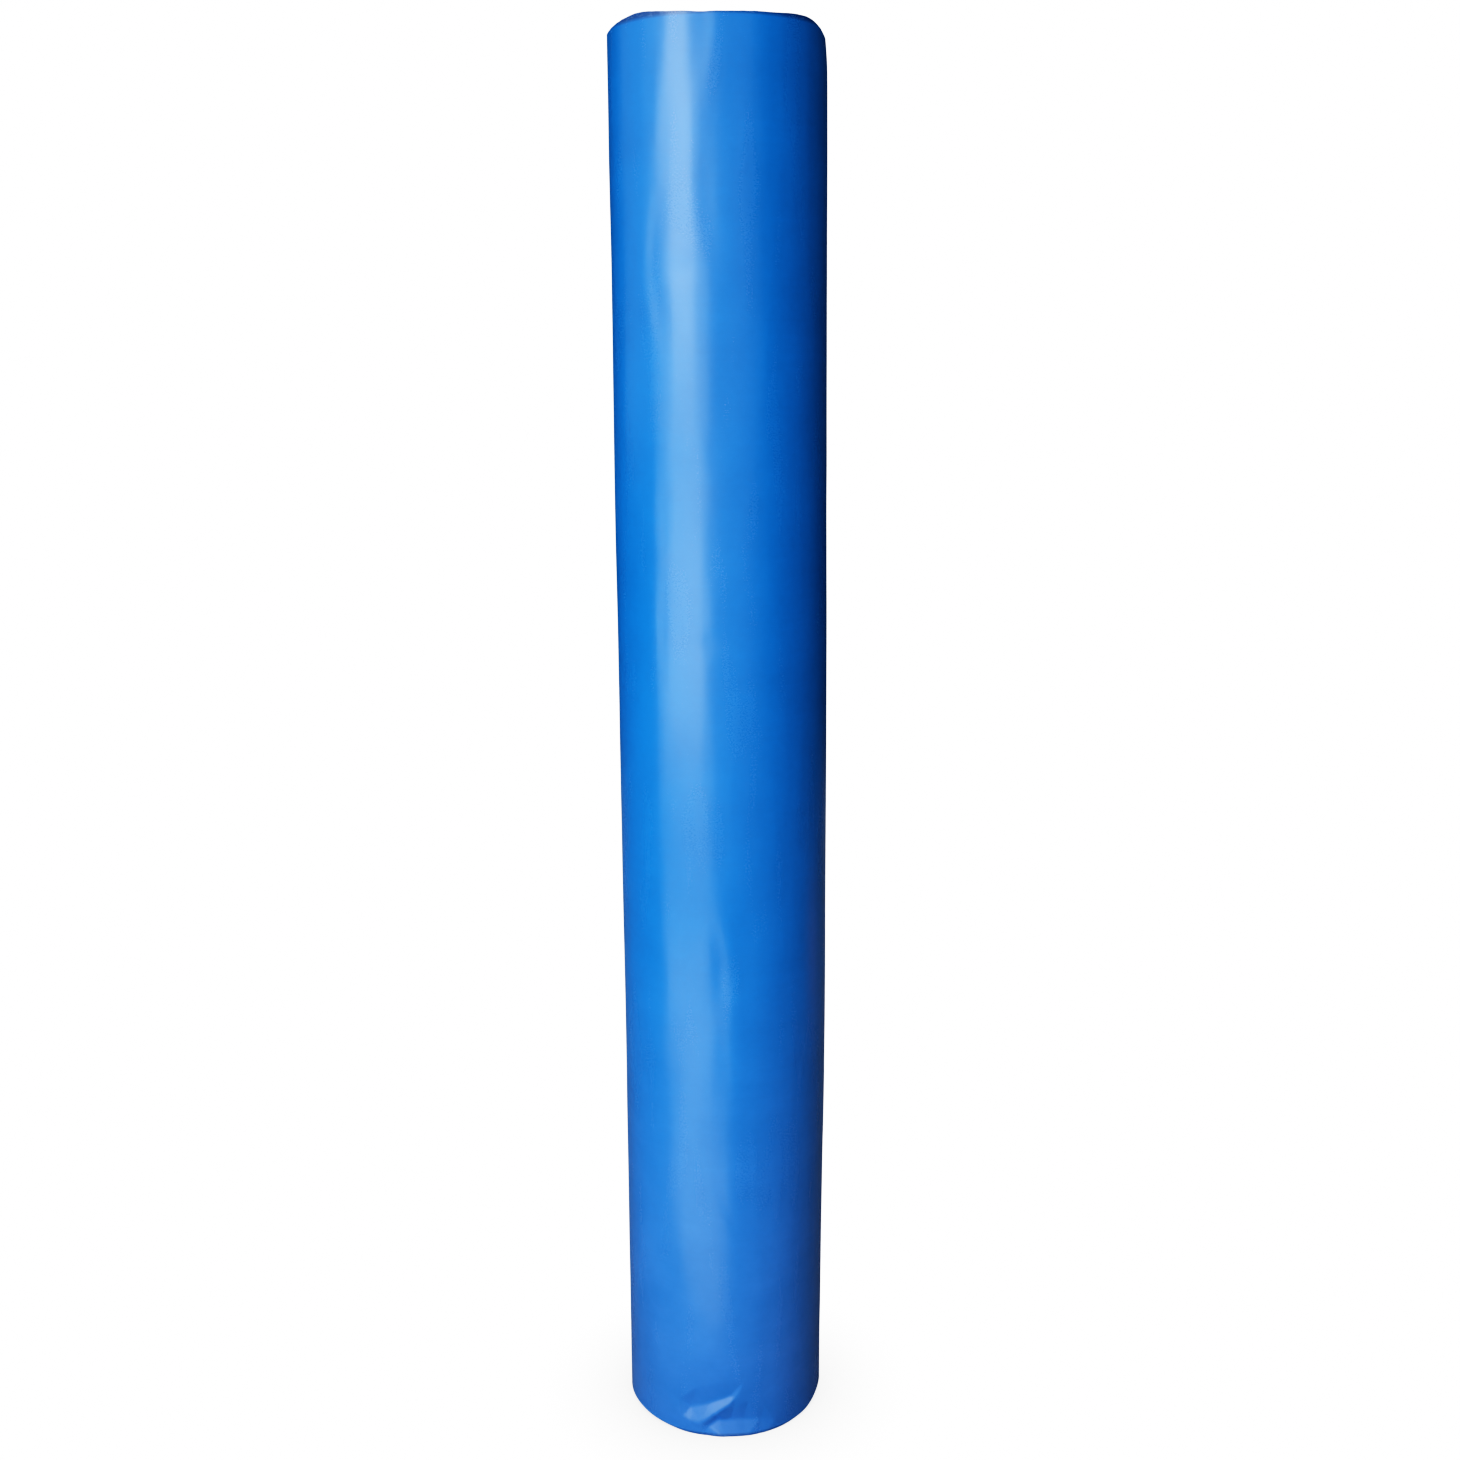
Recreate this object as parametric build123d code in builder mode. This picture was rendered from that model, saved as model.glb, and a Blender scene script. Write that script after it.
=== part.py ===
"""Seamless backdrop paper roll: a web of coloured paper, 0.66 m wide and 11 m long, wound on a
spiral-wound board core and closed with three tape tabs.

Frame: millimetres, +Z up. The roll stands on end. The origin is on the core's axis, at the level of
the lower end of the wound paper, and +Z runs up the core.
"""

import math
import os

from build123d import *

os.makedirs("parts", exist_ok=True)

# ---------------------------------------------------------------- driving dimensions
WEB_WIDTH = 660.0  # width of the paper web: the height of the roll on end
WEB_LENGTH = 11000.0  # length of paper on the roll
PAPER = 0.20  # thickness of the paper

BORE_R = 38.1  # 3 inch core bore
PLY = 0.50  # one ply of core board
PLIES = 6  # liner, four body plies, facing
CORE_R = BORE_R + PLY * PLIES  # outside of the core
CORE_RECESS = 1.0  # the core is cut this much short of the paper at each end
CORE_Z0 = CORE_RECESS
CORE_LENGTH = WEB_WIDTH - 2 * CORE_RECESS

ROLL_R = 49.2  # outside of the roll at the free edge of the web
EDGE_DEG = 150.0  # angle of the free edge about Z, from +X
HINGE_DEG = 15.0  # where the leader, the part that unrolls, leaves the roll
STRIP_DEG = 15.0  # arc of each leader strip
LAST_STRIP_DEG = 30.0  # the last strip carries the free edge and the tape tabs
WRAP_INSET = 0.3  # the outer wrap is telescoped this much inside the roll's ends
LEADER_INSET = 0.6  # and the leader this much

TAPE = 0.12  # thickness of the closing tape
TAPE_WIDTH = 24.0
TAPE_DEG = 27.0  # arc of tape on each side of the free edge
TAPE_Z = (58.0, 330.0, 602.0)  # centres of the tape tabs

START_TAPE = 0.10  # thickness of the tape that holds the inner end of the web to the core
START_TAPE_DEG = 34.0
START_TAPE_AT = 60.0
START_TAPE_Z = (70.0, 330.0, 590.0)

# The outside of a wound web is a spiral that gains one thickness of paper in a turn. Here it is two
# half-turn arcs with centres a quarter thickness either side of the axis, which meet tangentially.
SHIFT = PAPER / 4
UX, UY = math.cos(math.radians(EDGE_DEG)), math.sin(math.radians(EDGE_DEG))
CA = (SHIFT * UX, SHIFT * UY)  # centre for EDGE_DEG - 180 to EDGE_DEG
CB = (-SHIFT * UX, -SHIFT * UY)  # centre for EDGE_DEG to EDGE_DEG + 180
RA = ROLL_R - PAPER - SHIFT  # inside radius of the outermost layer about CA
RB = RA - PAPER / 2  # inside radius of the outermost layer about CB
HALF_DEG = EDGE_DEG - 180.0  # where the two arcs meet

turns = WEB_LENGTH / (math.pi * (CORE_R + ROLL_R))
print("turns on the roll", round(turns, 2), "pitch", round((ROLL_R - CORE_R) / turns, 4))


def at(centre, radius, deg):
    """The point at an angle and radius about a centre."""
    a = math.radians(deg)
    return (centre[0] + radius * math.cos(a), centre[1] + radius * math.sin(a))


# ---------------------------------------------------------------- core: six concentric plies
def core_ply(index):
    """One ply of the core, counted from the bore."""
    inner = BORE_R + PLY * index
    with BuildPart() as ply:
        with BuildSketch(Plane.XY.offset(CORE_Z0)):
            Circle(inner + PLY)
            Circle(inner, mode=Mode.SUBTRACT)
        extrude(amount=CORE_LENGTH)
    return ply


core_liner = core_ply(0)
core_liner.part.label = "core_liner"
export_step(core_liner.part, "parts/core_liner.step")

for index in range(1, PLIES - 1):
    body_ply = core_ply(index)
    name = f"core_body_ply_{index}"
    body_ply.part.label = name
    export_step(body_ply.part, f"parts/{name}.step")

core_facing = core_ply(PLIES - 1)
core_facing.part.label = "core_facing_ply"
export_step(core_facing.part, "parts/core_facing_ply.step")

# ---------------------------------------------------------------- tapes that start the web on the core
for name, z in zip(("start_tape_bottom", "start_tape_middle", "start_tape_top"), START_TAPE_Z):
    with BuildPart() as start_tape:
        with BuildSketch(Plane.XY.offset(z - TAPE_WIDTH / 2)):
            with BuildLine():
                a0, a1 = START_TAPE_AT - START_TAPE_DEG / 2, START_TAPE_AT + START_TAPE_DEG / 2
                CenterArc((0, 0), CORE_R, a0, START_TAPE_DEG)
                CenterArc((0, 0), CORE_R + START_TAPE, a0, START_TAPE_DEG)
                Line(at((0, 0), CORE_R, a0), at((0, 0), CORE_R + START_TAPE, a0))
                Line(at((0, 0), CORE_R, a1), at((0, 0), CORE_R + START_TAPE, a1))
            make_face()
        extrude(amount=TAPE_WIDTH)
    start_tape.part.label = name
    export_step(start_tape.part, f"parts/{name}.step")

# ---------------------------------------------------------------- the wound web, under the outermost layer
with BuildPart() as wound_paper:
    with BuildSketch():
        with BuildLine():
            CenterArc(CA, RA, HALF_DEG, 180)
            Line(at(CA, RA, EDGE_DEG), at(CB, RB, EDGE_DEG))
            CenterArc(CB, RB, EDGE_DEG, 180)
        make_face()
        Circle(CORE_R, mode=Mode.SUBTRACT)
    extrude(amount=WEB_WIDTH)
    # room for the start tapes, against the core
    for z in START_TAPE_Z:
        with BuildSketch(Plane.XY.offset(z - TAPE_WIDTH / 2 - 0.2)):
            with BuildLine():
                a0 = START_TAPE_AT - START_TAPE_DEG / 2 - 0.3
                a1 = START_TAPE_AT + START_TAPE_DEG / 2 + 0.3
                CenterArc((0, 0), CORE_R - 0.5, a0, a1 - a0)
                CenterArc((0, 0), CORE_R + START_TAPE + 0.02, a0, a1 - a0)
                Line(at((0, 0), CORE_R - 0.5, a0), at((0, 0), CORE_R + START_TAPE + 0.02, a0))
                Line(at((0, 0), CORE_R - 0.5, a1), at((0, 0), CORE_R + START_TAPE + 0.02, a1))
            make_face()
        extrude(amount=TAPE_WIDTH + 0.4, mode=Mode.SUBTRACT)
wound_paper.part.label = "wound_paper"
export_step(wound_paper.part, "parts/wound_paper.step")

# ---------------------------------------------------------------- the outermost layer, up to the leader
with BuildPart() as outer_wrap:
    with BuildSketch(Plane.XY.offset(WRAP_INSET)):
        with BuildLine():
            # inside, from the start of the last turn round the front to the leader
            CenterArc(CB, RB, EDGE_DEG, 180)
            CenterArc(CA, RA, HALF_DEG, HINGE_DEG - HALF_DEG)
            # the end of the wrap, under the leader's first hinge
            Line(at(CA, RA, HINGE_DEG), at(CA, RA + PAPER, HINGE_DEG))
            # outside, back the other way
            CenterArc(CA, RA + PAPER, HALF_DEG, HINGE_DEG - HALF_DEG)
            CenterArc(CB, RB + PAPER, EDGE_DEG, 180)
            Line(at(CB, RB, EDGE_DEG), at(CB, RB + PAPER, EDGE_DEG))
        make_face()
    extrude(amount=WEB_WIDTH - 2 * WRAP_INSET)
outer_wrap.part.label = "outer_wrap"
export_step(outer_wrap.part, "parts/outer_wrap.step")


# ---------------------------------------------------------------- the leader: the last stretch of the web
def leader_strip(start_deg, arc_deg):
    """A strip of the web with its long edges along Z."""
    with BuildPart() as strip:
        with BuildSketch(Plane.XY.offset(LEADER_INSET)):
            with BuildLine():
                CenterArc(CA, RA, start_deg, arc_deg)
                CenterArc(CA, RA + PAPER, start_deg, arc_deg)
                Line(at(CA, RA, start_deg), at(CA, RA + PAPER, start_deg))
                Line(
                    at(CA, RA, start_deg + arc_deg), at(CA, RA + PAPER, start_deg + arc_deg)
                )
            make_face()
        extrude(amount=WEB_WIDTH - 2 * LEADER_INSET)
    return strip


count = round((EDGE_DEG - LAST_STRIP_DEG - HINGE_DEG) / STRIP_DEG) + 1
for k in range(count):
    start = HINGE_DEG + STRIP_DEG * k
    strip = leader_strip(start, STRIP_DEG if k < count - 1 else LAST_STRIP_DEG)
    name = f"leader_strip_{k + 1}" if k < count - 1 else "leader_free_edge"
    strip.part.label = name
    export_step(strip.part, f"parts/{name}.step")
    # the hinge line runs up the outside of the strip's first edge
    x, y = at(CA, RA + PAPER, start)
    print("hinge", name, round(x / 1000, 8), round(y / 1000, 8))


# ---------------------------------------------------------------- tape tabs across the free edge
def tape_tab(z):
    """A tab of tape, half on the leader and half on the layer below, stepping down over the edge."""
    lo, hi = EDGE_DEG - TAPE_DEG, EDGE_DEG + TAPE_DEG
    step = 1.2  # arc over which the tape comes down to the layer below
    with BuildPart() as tab:
        with BuildSketch(Plane.XY.offset(z - TAPE_WIDTH / 2)):
            with BuildLine():
                CenterArc(CA, RA + PAPER, lo, TAPE_DEG)
                Line(at(CA, RA + PAPER, EDGE_DEG), at(CB, RB + PAPER, EDGE_DEG))
                CenterArc(CB, RB + PAPER, EDGE_DEG, TAPE_DEG)
                Line(at(CB, RB + PAPER, hi), at(CB, RB + PAPER + TAPE, hi))
                CenterArc(CB, RB + PAPER + TAPE, EDGE_DEG + step, TAPE_DEG - step)
                Line(
                    at(CB, RB + PAPER + TAPE, EDGE_DEG + step),
                    at(CA, RA + PAPER + TAPE, EDGE_DEG),
                )
                CenterArc(CA, RA + PAPER + TAPE, lo, TAPE_DEG)
                Line(at(CA, RA + PAPER + TAPE, lo), at(CA, RA + PAPER, lo))
            make_face()
        extrude(amount=TAPE_WIDTH)
    return tab


for name, z in zip(("tape_tab_bottom", "tape_tab_middle", "tape_tab_top"), TAPE_Z):
    tab = tape_tab(z)
    tab.part.label = name
    export_step(tab.part, f"parts/{name}.step")
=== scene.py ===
import math

import bpy
import numpy as np
from mathutils import Matrix, Vector
from mathutils.geometry import delaunay_2d_cdt

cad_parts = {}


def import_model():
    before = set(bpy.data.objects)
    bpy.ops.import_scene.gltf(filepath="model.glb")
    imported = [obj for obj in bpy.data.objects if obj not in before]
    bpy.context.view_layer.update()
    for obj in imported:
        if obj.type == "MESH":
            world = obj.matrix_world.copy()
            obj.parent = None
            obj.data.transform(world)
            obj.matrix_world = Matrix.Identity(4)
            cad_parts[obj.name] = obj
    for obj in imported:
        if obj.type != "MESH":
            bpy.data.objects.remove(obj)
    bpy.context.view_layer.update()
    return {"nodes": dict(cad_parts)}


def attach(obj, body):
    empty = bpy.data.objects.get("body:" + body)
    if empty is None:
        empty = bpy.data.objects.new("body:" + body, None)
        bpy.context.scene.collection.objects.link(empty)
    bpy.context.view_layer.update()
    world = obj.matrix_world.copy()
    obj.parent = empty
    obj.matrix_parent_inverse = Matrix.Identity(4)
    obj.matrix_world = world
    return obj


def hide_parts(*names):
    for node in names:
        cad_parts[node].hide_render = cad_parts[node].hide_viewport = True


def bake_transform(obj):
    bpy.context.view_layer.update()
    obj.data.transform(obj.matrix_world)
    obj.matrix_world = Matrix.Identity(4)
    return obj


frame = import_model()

NODES = frame["nodes"]
MM = 0.001

# ---------------------------------------------------------------- the roll's own dimensions, in mm
WIDTH = 660.0
PAPER = 0.20
BORE_R = 38.1
PLY = 0.50
PLIES = 6
CORE_R = BORE_R + PLIES * PLY
CORE_Z0, CORE_Z1 = 1.0, 659.0
ROLL_R = 49.2
EDGE = 150.0
HALF = EDGE - 180.0
LOW = EDGE - 360.0
HINGES = [15.0 * k for k in range(1, 9)]
WINDOW = 7.5
SHIFT = PAPER / 4
RA = ROLL_R - PAPER - SHIFT
RB = RA - PAPER / 2
CA = np.array([math.cos(math.radians(EDGE)), math.sin(math.radians(EDGE))]) * SHIFT
CB = -CA
TURNS = 38
TAPE_Z = {"tape_bottom": 58.0, "tape_middle": 330.0, "tape_top": 602.0}
TAPE_ARC = 27.0
TAPE_WIDTH = 24.0
TAPE_THICK = 0.12
ARC = math.pi / 180 * ROLL_R  # mm of web to a degree


# ---------------------------------------------------------------- smooth noise and the web's shape
def lattice(u, v, nu, nv, seed):
    """Smooth noise of unit size on a lattice that repeats every nu cells of u and nv of v."""
    grid = np.random.default_rng(seed).uniform(-1, 1, (nu, nv))
    u, v = np.asarray(u, float) % nu, np.asarray(v, float) % nv
    i, j = np.floor(u).astype(int), np.floor(v).astype(int)
    a, b = u - i, v - j
    a, b = a * a * a * (a * (a * 6 - 15) + 10), b * b * b * (b * (b * 6 - 15) + 10)
    i, j, p, q = i % nu, j % nv, (i + 1) % nu, (j + 1) % nv
    return (grid[i, j] * (1 - a) + grid[p, j] * a) * (1 - b) + (grid[i, q] * (1 - a) + grid[p, q] * a) * b


def round_noise(phi, z, cells, tall, seed, slant=0.0):
    """Noise that closes round the roll: cells round it, one every tall mm up it, slanting by a number of cells over its height."""
    u = np.asarray(phi, float) / 360 * cells + slant * np.asarray(z, float) / WIDTH
    return lattice(u, np.asarray(z, float) / tall + 3, cells, 512, seed)


def smooth(x, lo, hi):
    t = np.clip((np.asarray(x, float) - lo) / (hi - lo), 0, 1)
    return t * t * (3 - 2 * t)


def turn(phi, mid):
    """Degrees from mid to phi, from -180 to 180."""
    return (np.asarray(phi, float) - mid + 180) % 360 - 180


def dent(phi, z, at, long, wide, slope, depth):
    """A soft hollow or ridge of depth mm along a line at slope degrees from level, long and wide mm at one sigma."""
    s, h = turn(phi, at[0]) * ARC, np.asarray(z, float) - at[1]
    c, n = math.cos(math.radians(slope)), math.sin(math.radians(slope))
    along, across = s * c + h * n, -s * n + h * c
    return depth * np.exp(-0.5 * (along / long) ** 2 - 0.5 * (across / wide) ** 2)


# the crumpled lower edge at the front: points (mm round from -90 degrees, mm up) with their depth
CRUMPLE = [
    (-19.3, 13.6, -1.75), (-9.0, 17.0, -1.7), (1.5, 21.2, -1.15), (-18.6, 5.8, -0.1), (-13.4, 6.2, 0.05),
    (-6.5, 11.6, 0.0), (0.2, 16.6, -0.05), (4.0, 20.5, -0.35), (-10.2, 4.6, -0.95), (-3.6, 9.6, -1.15),
    (3.2, 15.0, -0.75), (-5.1, 7.8, -2.0), (2.0, 7.9, -2.15), (8.8, 7.8, -2.0), (17.0, 7.2, -0.95),
    (-11.5, 1.6, -0.3), (-10.6, -1.0, -0.2), (0.0, -1.0, 0.25), (8.8, -1.0, 0.3), (17.0, -1.0, 0.15),
    (-22.5, -1.0, 0.0), (-23.5, 8.0, -0.1), (-25.0, 17.0, -0.3), (-15.0, 25.5, -0.6), (-3.0, 28.5, -0.55),
    (8.5, 29.0, -0.25), (10.5, 18.0, -0.55), (19.5, 14.0, -0.25), (24.5, 4.0, 0.0), (24.5, -1.0, 0.0),
    (-33.0, -1.0, 0.0), (-33.0, 18.0, 0.0), (-27.0, 33.0, 0.0), (-6.0, 44.0, 0.0), (14.0, 42.0, 0.0),
    (27.0, 26.0, 0.0), (33.0, 10.0, 0.0), (33.0, -1.0, 0.0),
]  # fmt: skip
STEP = 0.25


def crumple_grid():
    """The crumple as a height field on a fine grid: flat facets with softened creases."""
    pts = [Vector((a, b)) for a, b, _ in CRUMPLE]
    depth = np.array([c for _, _, c in CRUMPLE])
    made = delaunay_2d_cdt(pts, [], [], 0, 1e-6)
    where, faces = np.array(made[0]), made[2]
    depth = np.array([depth[np.argmin(((np.array([(p.x, p.y) for p in pts]) - w) ** 2).sum(1))] for w in where])
    s, h = np.meshgrid(np.arange(-36, 36, STEP), np.arange(-6, 50, STEP), indexing="ij")
    out = np.zeros_like(s)
    for f in faces:
        (x0, y0), (x1, y1), (x2, y2) = where[f[0]], where[f[1]], where[f[2]]
        det = (y1 - y2) * (x0 - x2) + (x2 - x1) * (y0 - y2)
        if abs(det) < 1e-9:
            continue
        a = ((y1 - y2) * (s - x2) + (x2 - x1) * (h - y2)) / det
        b = ((y2 - y0) * (s - x2) + (x0 - x2) * (h - y2)) / det
        inside = (a > -1e-6) & (b > -1e-6) & (a + b < 1 + 1e-6)
        out[inside] = (a * depth[f[0]] + b * depth[f[1]] + (1 - a - b) * depth[f[2]])[inside]
    out[:, h[0] < -1] = out[:, [int(round(5 / STEP))]]
    k = np.exp(-0.5 * (np.arange(-6, 7) * STEP / 0.55) ** 2)
    k /= k.sum()
    for axis in (0, 1):
        out = np.apply_along_axis(lambda r: np.convolve(np.pad(r, 6, mode="edge"), k, "valid"), axis, out)
    return out


CRUMPLE_GRID = crumple_grid()


def crumple(phi, z):
    s, h = turn(phi, -90) * ARC, np.asarray(z, float)
    a, b = (s + 36) / STEP, (h + 6) / STEP
    ok = (a > 0) & (a < CRUMPLE_GRID.shape[0] - 2) & (b > 0) & (b < CRUMPLE_GRID.shape[1] - 2)
    a, b = np.where(ok, a, 1), np.where(ok, b, 1)
    i, j = a.astype(int), b.astype(int)
    p, q = a - i, b - j
    g = CRUMPLE_GRID
    out = (g[i, j] * (1 - p) + g[i + 1, j] * p) * (1 - q) + (g[i, j + 1] * (1 - p) + g[i + 1, j + 1] * p) * q
    return np.where(ok, out, 0) * 1.45


SIDE_Z = [0, 36, 100, 161, 221, 280, 336, 392, 445, 497, 548, 598, 645, 660]
RIGHT = [-1.2, -1.05, -0.45, 0.3, 0.8, 0.75, 0.8, 0.6, 0.35, 0.1, -0.15, -0.1, -0.25, -0.3]
LEFT = [0.1, 0.1, 0.1, 0.15, 0.15, 0.35, 0.35, 0.35, 0.6, 0.55, 0.3, 0.5, 0.4, 0.35]


def side(z, table):
    """A smooth curve through a table of offsets up the roll."""
    z = np.asarray(z, float)
    out = np.zeros_like(z)
    for d, w in ((-24, 0.12), (-12, 0.23), (0, 0.3), (12, 0.23), (24, 0.12)):
        out = out + w * np.interp(z + d, SIDE_Z, table)
    return out


# two lines up the front where the slack web leans: height, angle round the roll, and lean in degrees
LEAN_Z = [30.0, 42.5, 55.0, 67.5, 80.0, 92.5, 105.0, 117.5, 130.0, 142.5, 155.0, 167.5, 180.0, 192.5, 205.0, 217.5, 230.0, 242.5, 255.0, 267.5, 280.0, 292.5, 305.0, 317.5, 330.0, 342.5, 355.0, 367.5, 380.0, 392.5, 405.0, 417.5, 430.0, 442.5, 455.0, 467.5, 480.0, 492.5, 505.0, 517.5, 530.0, 542.5, 555.0, 567.5, 580.0, 592.5, 605.0, 617.5, 630.0, 642.5, 655.0]
LINES = [
    ([-124.6, -124.5, -124.8, -125.8, -126.8, -125.8, -125.1, -125.4, -124.0, -123.0, -122.8, -122.3, -123.3, -124.2, -123.9, -124.0, -123.7, -124.4, -125.1, -125.1, -125.0, -124.9, -125.2, -125.4, -125.5, -125.5, -125.5, -125.5, -125.8, -126.4, -126.3, -125.6, -125.0, -125.4, -125.5, -125.0, -124.7, -125.0, -125.0, -125.1, -126.5, -128.5, -129.9, -129.2, -127.4, -125.7, -125.0, -123.6, -122.8, -121.7, -120.6],
     [1.2, 1.2, 0.9, 0.6, 0.3, -0.4, -1.2, -1.2, -0.2, 0.3, 0.3, 0.5, 0.2, -0.3, -0.0, 0.3, 1.0, 0.1, -0.8, -0.7, -0.4, 0.2, -0.3, -1.4, -1.7, -1.7, -1.8, -2.3, -2.7, -3.4, -3.4, -2.4, -1.4, -2.4, -2.5, -1.6, -1.3, -2.1, -1.5, -0.9, -2.6, -5.5, -5.5, -5.5, -3.2, -0.8, -1.0, 0.3, 1.1, 2.0, 2.3]),
    ([-85.2, -87.3, -88.7, -88.5, -87.9, -87.5, -87.5, -87.5, -88.2, -89.1, -88.1, -87.0, -87.0, -87.2, -87.9, -88.2, -88.1, -88.7, -90.6, -92.2, -92.4, -92.6, -93.4, -93.7, -93.6, -94.5, -95.3, -96.2, -96.3, -95.9, -95.6, -95.7, -95.8, -95.7, -95.5, -95.7, -96.2, -95.9, -95.7, -95.8, -95.9, -95.9, -96.7, -98.5, -99.7, -100.0, -99.4, -98.9, -97.4, -95.3, -93.8],
     [1.6, 1.6, 1.6, 1.6, 1.6, 1.6, 1.6, 1.6, 1.6, 1.6, 1.6, 1.6, 2.8, 3.8, 3.5, 2.6, 5.5, 5.5, 5.2, 1.1, -0.4, -1.4, -1.8, -0.7, 1.1, 0.9, 0.5, -0.1, -0.5, 0.1, 0.5, -0.2, -1.6, -1.3, -0.3, -0.6, -0.9, 0.4, 1.2, 1.4, 1.4, 1.6, -0.1, -3.3, -5.2, -4.8, -3.1, -2.3, -0.1, 3.6, 5.5]),
]


def lean(phi, z):
    d = 0.0
    for at, deg in LINES:
        s = turn(phi, np.interp(z, LEAN_Z, at))
        d = d + ARC * np.tan(np.radians(np.interp(z, LEAN_Z, deg))) * s * np.exp(-0.5 * (s / 4.5) ** 2)
    return d


def web(phi, z):
    """How far the outer turns stand proud of a true cylinder at an angle and height, in mm."""
    phi, z = np.broadcast_arrays(np.asarray(phi, float), np.asarray(z, float))
    d = side(z, RIGHT) * np.exp(-0.5 * (turn(phi, -8) / 30) ** 2)
    d = d + side(z, LEFT) * np.exp(-0.5 * (turn(phi, -174) / 26) ** 2)
    # slack ripples that run up the web, and finer cockle
    d = d + 0.100 * round_noise(phi, z, 14, 92, 11, 1.5)
    d = d + 0.038 * round_noise(phi, z, 31, 44, 12, -2.0)
    d = d + 0.022 * round_noise(phi, z, 66, 150, 14, 1.0)
    d = d + 0.007 * round_noise(phi, z, 130, 210, 18, 0.5)
    d = d + 0.010 * round_noise(phi, z, 70, 17, 15, 4.0)
    d = d - 0.11 * np.sqrt(round_noise(phi, z, 17, 64, 16, -3.0) ** 2 + 0.04) - 0.04 * np.sqrt(round_noise(phi, z, 27, 30, 17, 5.0) ** 2 + 0.06)
    low = 1 - smooth(z, 180, 360)
    d = d + 0.060 * low * round_noise(phi, z, 22, 26, 13, 9.0)
    # single marks on the front
    d = d + dent(phi, z, (-134, 570), 6.5, 24, 0, 0.55)
    d = d + dent(phi, z, (-146, 600), 5.0, 16, 0, -0.22)
    d = d + dent(phi, z, (-99, 520), 4.5, 30, 0, 0.26)
    d = d + dent(phi, z, (-103, 556), 12, 3.2, 4, -0.16)
    d = d + dent(phi, z, (-116, 618), 4.0, 22, 0, -0.16)
    d = d + dent(phi, z, (-96.3, 393), 5.0, 2.6, 6, -0.28)
    d = d + dent(phi, z, (-82.5, 500), 7.0, 4.0, 0, -0.12)
    d = d + dent(phi, z, (-106, 466), 5.0, 6.0, 10, -0.12)
    d = d + dent(phi, z, (-80, 250), 32, 10, 57, -0.75)
    for a, h, tilt in ((-99, 146, -62), (-94, 132, -64), (-90, 120, -60), (-85, 110, -66), (-104, 128, -58)):
        d = d + dent(phi, z, (a, h), 9, 1.1, tilt, -0.05)
    for a, h, tilt, deep in ((62, 410, 75, -0.3), (118, 180, 70, -0.25), (170, 480, 82, -0.2), (30, 120, 60, -0.2)):
        d = d + dent(phi, z, (a, h), 22, 6, tilt, deep)
    d = d + lean(phi, z)
    # the top corner on the right is knocked in a little
    d = d + dent(phi, z, (-6, 664), 14, 9, 0, -1.3)
    return d + crumple(phi, z)


TOP_PHI = [-210, -190, -176, -170, -160, -148, -133, -118, -100, -80, -60, -48, -40, -30, -23, -15, -6, 6, 25, 60, 100, 150]
TOP_DZ = [0, -0.3, -1.2, -1.4, -0.8, 0.6, 1.9, 0.7, -0.5, -0.4, 0.2, 0.9, 1.1, -0.1, -1.3, -3.0, -3.8, -2.6, -1.0, 0.2, 0.3, 0]
LOW_PHI = [-210, -190, -176, -170, -160, -151, -138, -124, -112, -100, -80, -66, -53, -44, -31, -19, -8, 6, 25, 60, 100, 150]
LOW_DZ = [0, 0.8, 1.2, 1.7, 1.9, 1.7, 1.3, 0.9, 0, 0, 0, 0, 0.5, 1.1, 2.0, 3.9, 4.2, 2.9, 1.1, 0.2, 0.2, 0]


def rim(phi, xs, ys):
    phi = (np.asarray(phi, float) + 210) % 360 - 210
    out = np.zeros_like(phi)
    for d, w in ((-6, 0.15), (-3, 0.22), (0, 0.26), (3, 0.22), (6, 0.15)):
        out = out + w * np.interp((phi + d + 210) % 360 - 210, xs, ys)
    return out


def top_edge(phi):
    return WIDTH + rim(phi, TOP_PHI, TOP_DZ) + 0.10 * round_noise(phi, 0, 40, 50, 21) + 0.05 * round_noise(phi, 9, 130, 50, 22)


def low_edge(phi):
    return rim(phi, LOW_PHI, LOW_DZ) + 0.08 + 0.07 * round_noise(phi, 0, 38, 50, 23)


def place(phi, r_off, z):
    """Points of the outermost layer: r_off mm out from its inside face, at an angle, with the roll's shape. On the half turn after the free edge the layer lies one step lower."""
    phi = np.asarray(phi, float)
    a = np.radians(phi)
    first = phi >= HALF
    radius = np.where(first, RA, RB) + r_off + web(phi, z)
    cx, cy = np.where(first, CA[0], CB[0]), np.where(first, CA[1], CB[1])
    return np.stack([cx + radius * np.cos(a), cy + radius * np.sin(a), np.broadcast_to(z, radius.shape)], -1)


# ---------------------------------------------------------------- meshes
def mesh(name, verts, faces, uvs=None, body=None, angle=35):
    """An object from points in mm and faces, smooth but for its sharp edges. uvs holds one pair for each point."""
    m = bpy.data.meshes.new(name)
    m.from_pydata((np.asarray(verts, float) * MM).tolist(), [], faces)
    m.polygons.foreach_set("use_smooth", [True] * len(m.polygons))
    if uvs is not None:
        layer = m.uv_layers.new(name="web")
        loops = np.zeros(len(m.loops), int)
        m.loops.foreach_get("vertex_index", loops)
        layer.data.foreach_set("uv", np.asarray(uvs, float)[loops].ravel())
    m.update()
    m.set_sharp_from_angle(angle=math.radians(angle))
    o = bpy.data.objects.new(name, m)
    bpy.context.scene.collection.objects.link(o)
    if body:
        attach(o, body)
    return o


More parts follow.
